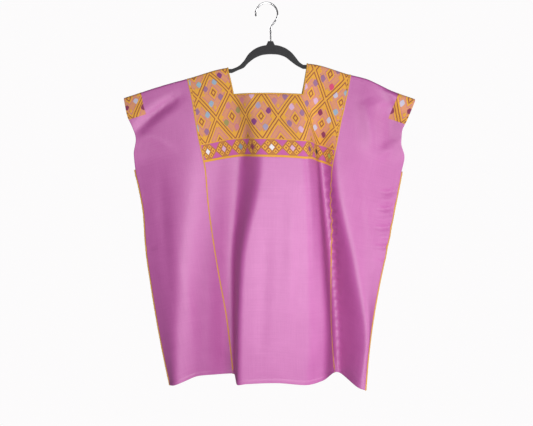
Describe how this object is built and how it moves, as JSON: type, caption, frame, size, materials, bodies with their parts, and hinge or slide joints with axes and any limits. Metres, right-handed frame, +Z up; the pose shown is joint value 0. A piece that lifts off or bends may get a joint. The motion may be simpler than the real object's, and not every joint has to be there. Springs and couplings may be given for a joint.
{
  "type": "huipil blouse on a clothes hanger",
  "caption": "Square-necked hand-woven blouse with a brocade yoke and gold seams, hanging open at the hem and armholes on a flat flocked hanger with a wire hook.",
  "frame": {"origin": "inner top of the hook's bend, where a rail carries it", "axes": "+X to the right seen from the front, -Y out of the front of the blouse, +Z up"},
  "size_m": [0.5855, 0.1638, 0.7787],
  "materials": {
    "orchid_cloth": "plain-woven cotton in orchid pink, with gold supplementary-weft brocade at the yoke and sleeve ends",
    "gold_thread": "gold cotton stitching",
    "grey_flock": "dark grey flocking on a flat moulded hanger",
    "bright_wire": "polished wire"
  },
  "bodies": {
    "root": {"centre_panel": "orchid_cloth", "left_panel": "orchid_cloth", "right_panel": "orchid_cloth", "left_randa": "gold_thread", "right_randa": "gold_thread", "left_side_seam": "gold_thread", "right_side_seam": "gold_thread", "neck_binding": "gold_thread", "hanger": "grey_flock", "hanger_hook": "bright_wire"}
  },
  "joints": []
}
